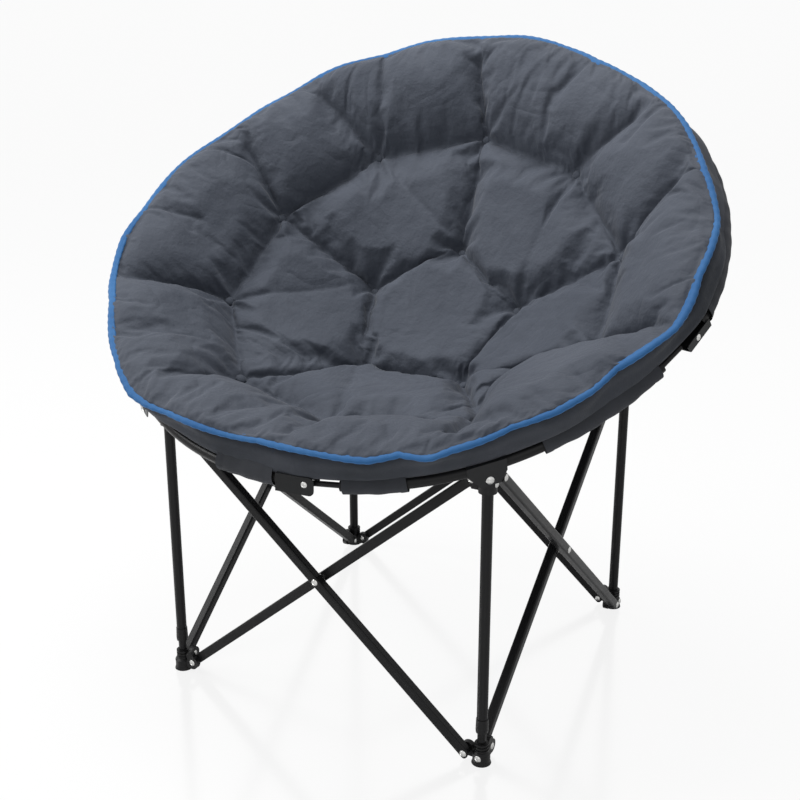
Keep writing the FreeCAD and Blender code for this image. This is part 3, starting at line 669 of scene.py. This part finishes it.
def oval_tube(centres, firsts, seconds, wide, thick):
    """Points and faces of a closed loop of tube; each section is an oval on two axes."""
    angle = np.linspace(0.0, 2 * math.pi, wide.shape[1], endpoint=False)
    ring = (centres[:, None] + firsts[:, None] * (np.cos(angle) * wide)[..., None]
            + seconds[:, None] * (np.sin(angle) * thick)[..., None])
    stations, around = wide.shape
    index = np.arange(stations * around).reshape(stations, around)
    ahead = np.roll(index, -1, axis=0)
    faces = np.stack((index, ahead, np.roll(ahead, -1, axis=1), np.roll(index, -1, axis=1)), -1)
    return ring.reshape(-1, 3), faces.reshape(-1, 4)


def unit_rows(vectors):
    """Rows made one unit long."""
    return vectors / np.linalg.norm(vectors, axis=-1, keepdims=True)


def add_binding():
    t = np.linspace(0.0, 360.0, BINDING_STATIONS, endpoint=False)
    edge = edge_point(t)
    spoke = unit_rows(rim(t) - SEAT_CENTRE)
    along = unit_rows(np.roll(edge, -1, axis=0) - np.roll(edge, 1, axis=0))
    outward = unit_rows(spoke - along * (spoke * along).sum(-1, keepdims=True))
    upright = np.cross(outward, along)
    ripple = 0.00035 * np.sin(np.radians(t * 190)) + 0.0005 * np.sin(np.radians(t * 23 + 60))
    angle = np.linspace(0.0, 2 * math.pi, BINDING_SECTION, endpoint=False)
    stitched = 1.0 - 0.22 * bell((np.cos(angle) + 0.45) / 0.28)
    wide = (BINDING_HALF_WIDTH + ripple)[:, None] * np.ones(BINDING_SECTION)
    thick = (BINDING_HALF_THICKNESS + ripple * 0.6)[:, None] * stitched
    middle = edge - outward * BINDING_SET_IN
    return new_mesh("rim_binding", *oval_tube(middle, outward, upright, wide, thick))


binding = add_binding()
edge_steps = np.diff(edge_point(np.linspace(0, 360, 721)), axis=0)
print("binding length", round(float(np.linalg.norm(edge_steps, axis=1).sum()), 3), "m")

# %% [markdown]
# ## Covered buttons
#
# Each button is a domed disc wrapped in the pad's own cloth, pulled down until its
# edge sinks into the cover. Its place and tilt are read from the stuffed cover, so
# no button floats. The profile is turned round the button's axis, with shallow
# pleats where the cloth is gathered under it.

# %% Buttons
BUTTON_PROFILE = ((0.0, 0.0042), (0.003, 0.0040), (0.0060, 0.0030), (0.0082, 0.0014),
                  (0.0090, -0.0004), (0.0084, -0.0022), (0.0050, -0.0030))
BUTTON_SIDES = 28
BUTTON_PATCH, BUTTON_LIFT = 0.022, 0.0030


def add_buttons(points, t, rho):
    """All covered buttons in one mesh, standing on the cover."""
    x, y = spread_out(t, rho)
    everything, faces = [], []
    for button in BUTTONS:
        place = flat(*button)
        distance = np.hypot(x - place[0], y - place[1])
        near = np.nonzero(distance < BUTTON_PATCH)[0]
        spread = points[near] - points[near].mean(0)
        normal = np.linalg.svd(spread)[2][2]
        normal = normal * (1 if normal.dot(SEAT_NORMAL) > 0 else -1)
        centre = points[np.argmin(distance)] + normal * BUTTON_LIFT
        first = np.cross(normal, (1.0, 0.3, 0.2))
        first = first / np.linalg.norm(first)
        second = np.cross(normal, first)
        base = len(everything)
        everything.append(centre + normal * BUTTON_PROFILE[0][1])
        for ring, (radius, height) in enumerate(BUTTON_PROFILE[1:]):
            for side in range(BUTTON_SIDES):
                angle = 2 * math.pi * side / BUTTON_SIDES
                pleat = 1 + 0.025 * math.sin(7 * angle) * (radius / 0.009) ** 2
                out = first * math.cos(angle) + second * math.sin(angle)
                everything.append(centre + out * radius * pleat + normal * height)
                here, ahead = side, (side + 1) % BUTTON_SIDES
                start = base + 1 + ring * BUTTON_SIDES
                if ring == 0:
                    faces.append((base, start + here, start + ahead))
                else:
                    below = start - BUTTON_SIDES
                    faces.append((below + here, start + here, start + ahead, below + ahead))
    return new_mesh("tuft_buttons", everything, faces)


buttons = add_buttons(pad_points, pad_t, pad_rho)
print("buttons placed", len(BUTTONS))

# %% [markdown]
# ## Where the ring runs
#
# The shell and its sleeves hang on the tube ring, so their shapes need the ring's
# centre line. Each arc of the ring is part of a circle through three known
# points. `circle_arc` walks such a circle; the left half is the right half with x
# turned over.

# %% Ring arcs
RING_FRONT = np.array((0.0, -0.388, 0.436))
RING_FRONT_CORNER = np.array((0.290, -0.296, 0.477))
RING_SIDE = np.array((0.4805, -0.063, 0.636))
RING_REAR_CORNER = np.array((0.284, 0.292, 0.872))
RING_REAR = np.array((0.0, 0.352, 0.936))
SHIFT = np.array((0.0, POST_SHIFT, 0.0))


def circle_arc(start, middle, end, distances):
    """Points and directions at distances along the circle through three points."""
    a, b = middle - start, end - start
    normal = np.cross(a, b)
    centre = start + (np.cross(normal, a) * b.dot(b) - np.cross(normal, b) * a.dot(a)) / (
        2 * normal.dot(normal))
    radius = np.linalg.norm(start - centre)
    first = (start - centre) / radius
    second = np.cross(normal / np.linalg.norm(normal), first)
    angle = np.asarray(distances)[:, None] / radius
    points = centre + radius * (first * np.cos(angle) + second * np.sin(angle))
    return points + SHIFT, second * np.cos(angle) - first * np.sin(angle)


def front_line(distances):
    return circle_arc(RING_FRONT, RING_FRONT_CORNER, RING_SIDE, distances)


def rear_line(distances):
    return circle_arc(RING_REAR, RING_REAR_CORNER, RING_SIDE, distances)


FRONT_LENGTH = 0.659
REAR_LENGTH = 0.794
TO_LEFT = np.array((-1.0, 1.0, 1.0))


def ring_under(t):
    """Ring centre line under the rim at angles t."""
    front, _ = front_line(np.linspace(0.0, FRONT_LENGTH, 90))
    rear, _ = rear_line(np.linspace(REAR_LENGTH, 0.0, 110))
    half = np.concatenate((front, rear[1:]))
    angle = np.degrees(np.arctan2(half[:, 0], -(half[:, 1] - SEAT_CENTRE[1])))
    edge = rim(np.abs(away(t, 0.0)))
    wanted = np.degrees(np.arctan2(edge[:, 0], -(edge[:, 1] - SEAT_CENTRE[1])))
    point = np.stack([np.interp(wanted, angle, half[:, i]) for i in range(3)], -1)
    point[:, 0] *= np.sign(away(t, 0.0) + 1e-9)
    return point


print("ring at the side", ring_under(np.array([90.0])).round(3))

# %% [markdown]
# ## The shell under the pad
#
# The pad lies in a shell of plain dark cloth. The shell spans the ring like a
# shallow sack, and its outer band runs from under the binding down to the ring,
# where it is hemmed. Seen from the front only that band shows, with long soft
# folds. From behind and below the whole sack shows, with a seam between each of
# its eight gores.

# %% Shell
SHELL_STATIONS = 432
GORES = 8
SHELL_GAP = 0.0150
UP = np.array((0.0, 0.0, 1.0))


def shell_heights(t, rho):
    """The sack under the pad, drawn in at its seams."""
    seam = np.abs(away(t * GORES, 180.0)) / GORES
    sunk = 0.0022 * np.exp(-seam / 0.9)
    billow = 0.0045 * np.sin(np.pi * np.clip(rho, 0, 1)) * np.abs(
        np.sin(np.radians(t * GORES / 2)))
    return -SHELL_GAP - billow * 0.6 + sunk


def add_shell():
    t = np.linspace(0.0, 360.0, SHELL_STATIONS, endpoint=False)
    rows = []
    for rho in np.linspace(0.02, 0.95, 34):
        level = np.full_like(t, rho)
        rows.append(pad_point(t, level, shell_heights(t, level)))
    ring = ring_under(t)
    edge = edge_point(t)
    spoke = unit_rows(rim(t) - SEAT_CENTRE)
    under = edge - SEAT_NORMAL * 0.0065 - spoke * 0.006
    foot = ring + UP * 0.0105 + spoke * 0.004
    fold = 0.0035 * np.sin(np.radians(t * 9 + 30)) + 0.0022 * np.sin(np.radians(t * 23))
    for share in np.linspace(0.0, 1.0, 13):
        bulge = math.sin(math.pi * share)
        crease = math.sin(3 * math.pi * share)
        side = (0.006 * bulge + fold * bulge)[:, None] + (0.0016 * crease)
        rows.append(under * (1 - share) + foot * share + spoke * side)
    for share in np.linspace(0.15, 0.85, 5):
        rows.append(foot - spoke * 0.008 * share - UP * 0.002 * share)
    points = np.stack(rows)
    count, around = points.shape[:2]
    index = np.arange(count * around).reshape(count, around)
    above, below = index[:-1], index[1:]
    faces = np.stack((above, np.roll(above, -1, axis=1), np.roll(below, -1, axis=1), below),
                     -1).reshape(-1, 4)
    middle = len(index.ravel())
    everything = np.concatenate((points.reshape(-1, 3), points[0].mean(0)[None]))
    fan = [(middle, int(index[0, (i + 1) % around]), int(i)) for i in range(around)]
    return new_mesh("seat_shell", everything, [tuple(f) for f in faces] + fan)


def area_of(piece):
    """Area of a mesh in square metres."""
    return sum(face.area for face in piece.data.polygons)


shell = add_shell()
print("shell area", round(area_of(shell), 3))

# %% [markdown]
# ## Sleeves on the ring
#
# The shell's hem is closed round the ring in short sleeves, with the tube bare
# between them. Each sleeve is a snug tube of the same cloth with a doubled hem at
# both ends and a row of stitches just inside it. Its section is a drop with the
# point up, because a strip of cloth loops round the tube and its two long edges
# are sewn to the shell's hem.

# %% Sleeves
SLEEVE_RADIUS = 0.0107
SLEEVE_STEP = 0.003
SLEEVE_SIDES = 24
SLEEVE_PEAK = 0.70
SLEEVE_SAG = 0.10
HEM_LIFT, HEM_WIDTH = 0.0007, 0.010
STITCH_DEPTH, STITCH_AT = 0.0006, 0.0105


def sleeve_rings(line, low, high, mirror):
    """Centres and section axes along one sleeve, and the radius at each centre."""
    count = int((high - low) / SLEEVE_STEP) + 1
    distances = np.linspace(low, high, count)
    centres, along = line(distances)
    centres, along = centres * mirror, along * mirror
    upright = unit_rows(UP - along * along[:, 2:])
    sideways = np.cross(upright, along)
    from_end = np.minimum(distances - low, high - distances)
    hem = HEM_LIFT * (from_end < HEM_WIDTH)
    stitch = STITCH_DEPTH * np.exp(-((from_end - STITCH_AT) / 0.0012) ** 2)
    drift = 0.0004 * np.sin(distances * 90.0) + 0.0003 * np.sin(distances * 211.0)
    return centres, sideways, upright, SLEEVE_RADIUS + hem - stitch + drift


def add_sleeves(name, line, spans, mirror):
    """One mesh with a sleeve for each span along a ring arc, each open along its top seam."""
    points, faces = [], []
    angle = np.linspace(0.5 * math.pi, 2.5 * math.pi, SLEEVE_SIDES + 1)
    drop = 1.0 + np.where(np.sin(angle) > 0, SLEEVE_PEAK, -SLEEVE_SAG) * np.sin(angle)
    for low, high in spans:
        centres, sideways, upright, radius = sleeve_rings(line, low, high, mirror)
        ring = (centres[:, None] + sideways[:, None] * (radius[:, None] * np.cos(angle))[..., None]
                + upright[:, None] * (radius[:, None] * np.sin(angle) * drop)[..., None])
        index = np.arange(ring.shape[0] * ring.shape[1]).reshape(ring.shape[:2])
        index = index + sum(len(p) for p in points)
        faces.append(np.stack((index[:-1, :-1], index[1:, :-1], index[1:, 1:], index[:-1, 1:]),
                              -1).reshape(-1, 4))
        points.append(ring.reshape(-1, 3))
    return new_mesh(name, np.concatenate(points), np.concatenate(faces))


REAR_PIN_AT = 0.3035
STRAIGHT = np.array((1.0, 1.0, 1.0))
SIDE_END = FRONT_LENGTH - 0.086 - 0.008
REAR_SIDE = (REAR_PIN_AT + 0.034, REAR_LENGTH - 0.016)
SLEEVES = {
    "fr": (front_line, ((0.108, 0.196), (0.380, SIDE_END)), STRAIGHT),
    "fl": (front_line, ((-0.010, 0.092), (0.380, SIDE_END)), TO_LEFT),
    "rr": (rear_line, ((0.110, REAR_PIN_AT - 0.034), REAR_SIDE), STRAIGHT),
    "rl": (rear_line, ((-0.010, REAR_PIN_AT - 0.034), REAR_SIDE), TO_LEFT),
}
sleeves = {}
for corner, (line, spans, mirror) in SLEEVES.items():
    sleeves[corner] = add_sleeves("ring_sleeve_" + corner, line, spans, mirror)
print("sleeves", {c: round(area_of(p), 4) for c, p in sleeves.items()})

# %% [markdown]
# ## Cloth
#
# The pad is a dense polyester weave, slate grey, nearly matt but with a faint
# silky sheen on the turned-up folds. Three things make it read as cloth: the fine
# weave as a bump, small wrinkles and crisp pinched lines as a coarser bump under
# it, and a slow change of tone where it has been handled. The weave is two sets of
# waves at right angles that follow the object's axes; it is so fine that it is
# only a texture to the eye.


# %% Woven cloth
THREAD_SHADE = rgb(30, 32, 38)


def woven(name, dark, pale, threads, wrinkle, roughness, sheen):
    """Plain weave with soft wrinkles; threads per metre, wrinkle depth in metres."""
    finish = Finish(name)
    warp = finish.node("TexWave", {"bands_direction": "X"},
                       {"Vector": finish.place(), "Scale": threads, "Distortion": 0.6})
    weft = finish.node("TexWave", {"bands_direction": "Z"},
                       {"Vector": finish.place(), "Scale": threads, "Distortion": 0.6})
    weave = warp * 0.5 + weft * 0.5
    cloud = finish.noise(7.0, 4.0, 0.6)
    tone = finish.colours(finish.step(cloud, 0.3, 0.7), dark, pale)
    tone = finish.colours(weave * 0.16, tone, THREAD_SHADE)
    folds = finish.noise(13.0, 5.0, 0.62)
    pinch = finish.node("TexNoise", {}, {"Vector": finish.place(), "Scale": 6.5, "Detail": 2.0,
                                         "Distortion": 0.9})
    ridge = finish.node("Math", {"operation": "ABSOLUTE"}, {0: pinch - 0.5})
    crisp = finish.step(ridge, 0.0, 0.08)
    soft = finish.bump(folds + crisp * 0.16, wrinkle, 0.6)
    woven_skin = finish.bump(weave, 0.00018, 0.35, soft)
    return finish.set(Base_Color=tone, Roughness=weave * 0.08 + roughness, Sheen_Weight=sheen,
                      Sheen_Roughness=0.45, Specular_IOR_Level=0.12, Normal=woven_skin)


PAD_CLOTH = woven("pad cloth", rgb(70, 75, 85), rgb(82, 87, 97), 260.0, 0.012, 0.62, 0.10)
BUTTON_CLOTH = woven("button cloth", rgb(66, 71, 81), rgb(80, 85, 95), 260.0, 0.001, 0.62, 0.10)
SHELL_CLOTH = woven("shell cloth", rgb(56, 59, 64), rgb(72, 75, 82), 200.0, 0.006, 0.72, 0.05)
SLEEVE_CLOTH = woven("sleeve cloth", rgb(52, 54, 58), rgb(66, 68, 73), 200.0, 0.002, 0.72, 0.05)
TAPE = woven("binding tape", rgb(46, 96, 150), rgb(62, 114, 168), 420.0, 0.001, 0.55, 0.08)

for piece, material in ((pad, PAD_CLOTH), (buttons, BUTTON_CLOTH), (shell, SHELL_CLOTH),
                        (binding, TAPE), *((p, SLEEVE_CLOTH) for p in sleeves.values())):
    piece.data.materials.append(material)
print("cloth finishes", 5)

# %% [markdown]
# ## What moves with what
#
# Each piece rides on the body that carries it. When the frame closes, the real
# seat's cloth is gathered sideways between the posts; here it rides on the seat
# unchanged. Sleeves are sewn round the ring and turn with its arcs.

# %% Ride and replace
SEAT_PIECES = ((pad, "seat_cushion", "pad_cloth"), (binding, "seat_rim_piping", "binding"),
               (buttons, "seat_buttons", "button_cloth"), (shell, "seat_sling", "sling_cloth"))
for piece, node, cloth_slot in SEAT_PIECES:
    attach(piece, "seat")
    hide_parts(node)
for corner, piece in sleeves.items():
    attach(piece, "ring_" + corner)
    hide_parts("ring_sleeves_" + corner)
for corner, piece in sleeves.items():
    "ring_arc_" + corner
print("seat pieces ride on the seat body")

# %% [markdown]
# ## Fixing the cloth's meshes
#
# The posts end about a fifth as far apart as they start when the frame folds.
# The pad's subdivision is applied, so its mesh keeps its final shape, and each
# seat piece gets a mesh of its own.


def apply_modifiers(piece):
    """Keeps a piece's shape with its modifiers worked in."""
    graph = bpy.context.evaluated_depsgraph_get()
    mesh = bpy.data.meshes.new_from_object(piece.evaluated_get(graph))
    piece.modifiers.clear()
    piece.data = mesh


apply_modifiers(pad)
for piece in (pad, binding, buttons, shell):
    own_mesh(piece)
print("pad faces", len(pad.data.polygons))

# %% [markdown]
# ## Floor, backdrop and light
#
# The chair stands on a glossy white table in a white room, so its feet are
# mirrored faintly. The floor mixes three looks: plain lit white, which keeps the
# soft shadow, a blurred mirror, and plain white for the camera. Behind it the
# world is white for the camera and for reflections, and a softer grey as a light,
# so that colours come out about as they are written.


# %% Floor
MIRROR_SHARE = 0.50
GLOW_SHARE = 0.86


def floor_finish():
    finish = Finish("white table")
    seen = finish.node("LightPath", output=0)
    gloss = finish.node("BsdfGlossy", {}, {"Color": (1, 1, 1, 1), "Roughness": 0.16})
    glow = finish.node("Emission", {}, {"Color": (1, 1, 1, 1), "Strength": 1.0})
    finish.set(Base_Color=(0.93, 0.93, 0.93, 1), Roughness=0.5)
    lit = Wire(finish, finish.shader.outputs[0])
    mirrored = finish.node("MixShader", {}, {0: MIRROR_SHARE, 1: lit, 2: gloss})
    shown = finish.node("MixShader", {}, {0: seen * GLOW_SHARE, 1: mirrored, 2: glow})
    out = finish.tree.nodes["Material Output"]
    finish.feed(out.inputs["Surface"], shown)
    return finish.material


FLOOR_REACH = 60.0
FLOOR_LEVEL = -0.0006
corners = [(x * FLOOR_REACH, y * FLOOR_REACH, FLOOR_LEVEL)
           for x, y in ((-1, -1), (1, -1), (1, 1), (-1, 1))]
floor = new_mesh("floor", corners, [(0, 1, 2, 3)], smooth=False)
floor.data.materials.append(floor_finish())


# %% World
def white_room(strength):
    """White to the camera, mirrors and glass, softer as a light."""
    world = bpy.data.worlds.new("white room")
    bpy.context.scene.world = world
    world.use_nodes = True
    tree = world.node_tree
    path = tree.nodes.new("ShaderNodeLightPath")
    seen = tree.nodes.new("ShaderNodeMath")
    seen.operation = "MAXIMUM"
    tree.links.new(path.outputs["Is Camera Ray"], seen.inputs[0])
    tree.links.new(path.outputs["Is Glossy Ray"], seen.inputs[1])
    through = tree.nodes.new("ShaderNodeMath")
    through.operation = "MAXIMUM"
    tree.links.new(seen.outputs[0], through.inputs[0])
    tree.links.new(path.outputs["Is Transmission Ray"], through.inputs[1])
    level = tree.nodes.new("ShaderNodeMapRange")
    level.inputs["To Min"].default_value = strength
    level.inputs["To Max"].default_value = 1.0
    tree.links.new(through.outputs[0], level.inputs["Value"])
    background = tree.nodes["Background"]
    background.inputs["Color"].default_value = (1, 1, 1, 1)
    tree.links.new(level.outputs[0], background.inputs["Strength"])
    return world


ROOM_LIGHT = 0.30
white_room(ROOM_LIGHT)


# %% Lamps
def softbox(name, place, target, width, power):
    """Square area lamp aimed at a point."""
    data = bpy.data.lights.new(name, "AREA")
    data.shape = "SQUARE"
    data.size = width
    data.energy = power
    lamp = bpy.data.objects.new(name, data)
    lamp.location = place
    aim = Vector(target) - Vector(place)
    lamp.rotation_mode = "QUATERNION"
    lamp.rotation_quaternion = aim.to_track_quat("-Z", "Y")
    bpy.context.scene.collection.objects.link(lamp)
    return lamp


# Place, target, width in metres and power in watts of each lamp
softbox("key", (-2.2, -0.9, 2.3), (0.0, 0.0, 0.6), 1.3, 42.0)
softbox("fill", (1.4, -2.6, 1.4), (0.0, 0.0, 0.5), 1.6, 5.0)
softbox("top", (-0.4, 0.2, 3.0), (0.0, -0.1, 0.5), 1.1, 47.0)
bpy.context.scene.view_settings.view_transform = "Standard"
print("lamps", 3)
